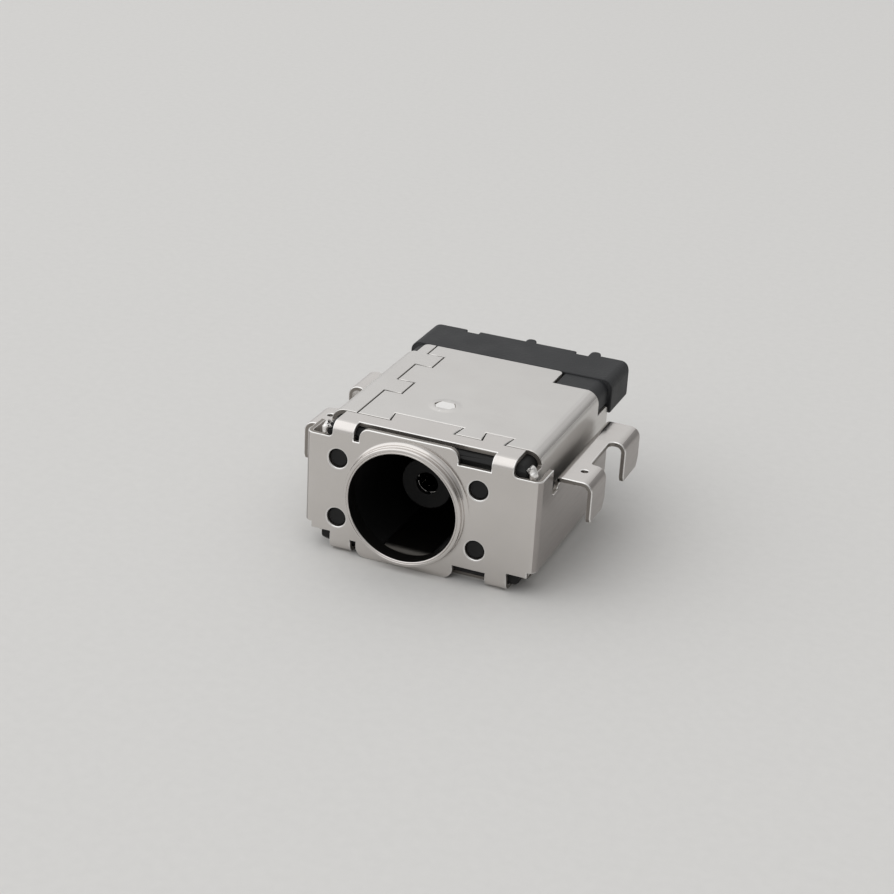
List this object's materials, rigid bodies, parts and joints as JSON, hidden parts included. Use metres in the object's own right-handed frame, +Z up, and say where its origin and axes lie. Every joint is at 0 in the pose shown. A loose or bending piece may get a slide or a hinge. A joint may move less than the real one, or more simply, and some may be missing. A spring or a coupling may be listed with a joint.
{
  "type": "dc_barrel_jack",
  "caption": "Shielded dc barrel jack with a drawn round collar, folded side legs for mid-board soldering and a black rear cover; takes a round plug with a centre pin.",
  "frame": {"origin": "The origin is on the axis of the plug bore, in the plane of the front face of the front plate.", "axes": "+Z is up, away from the board side of the flanges. +X is to the right as the bore is looked into. -Y points out of the bore, towards the plug, and +Y runs back to the rear cover."},
  "size_m": [0.0171, 0.0176, 0.0078],
  "materials": {
    "bracket_sheet": "satin, nickel plated sheet",
    "shell_sheet": "satin, nickel plated sheet",
    "housing_plastic": "matt, glass filled",
    "cover_plastic": "matt, glass filled",
    "core_plastic": "matt",
    "sleeve_metal": "plated",
    "socket_metal": "plated",
    "terminal_metal": "tinned",
    "spring_metal": "plated spring bronze"
  },
  "bodies": {
    "root": {"front_bracket": "bracket_sheet", "shell_wrap": "shell_sheet", "housing": "housing_plastic", "rear_cover": "cover_plastic", "post_core": "core_plastic", "post_sleeve": "sleeve_metal", "centre_socket": "socket_metal", "centre_terminal": "terminal_metal", "sleeve_spring": "spring_metal"}
  },
  "joints": []
}
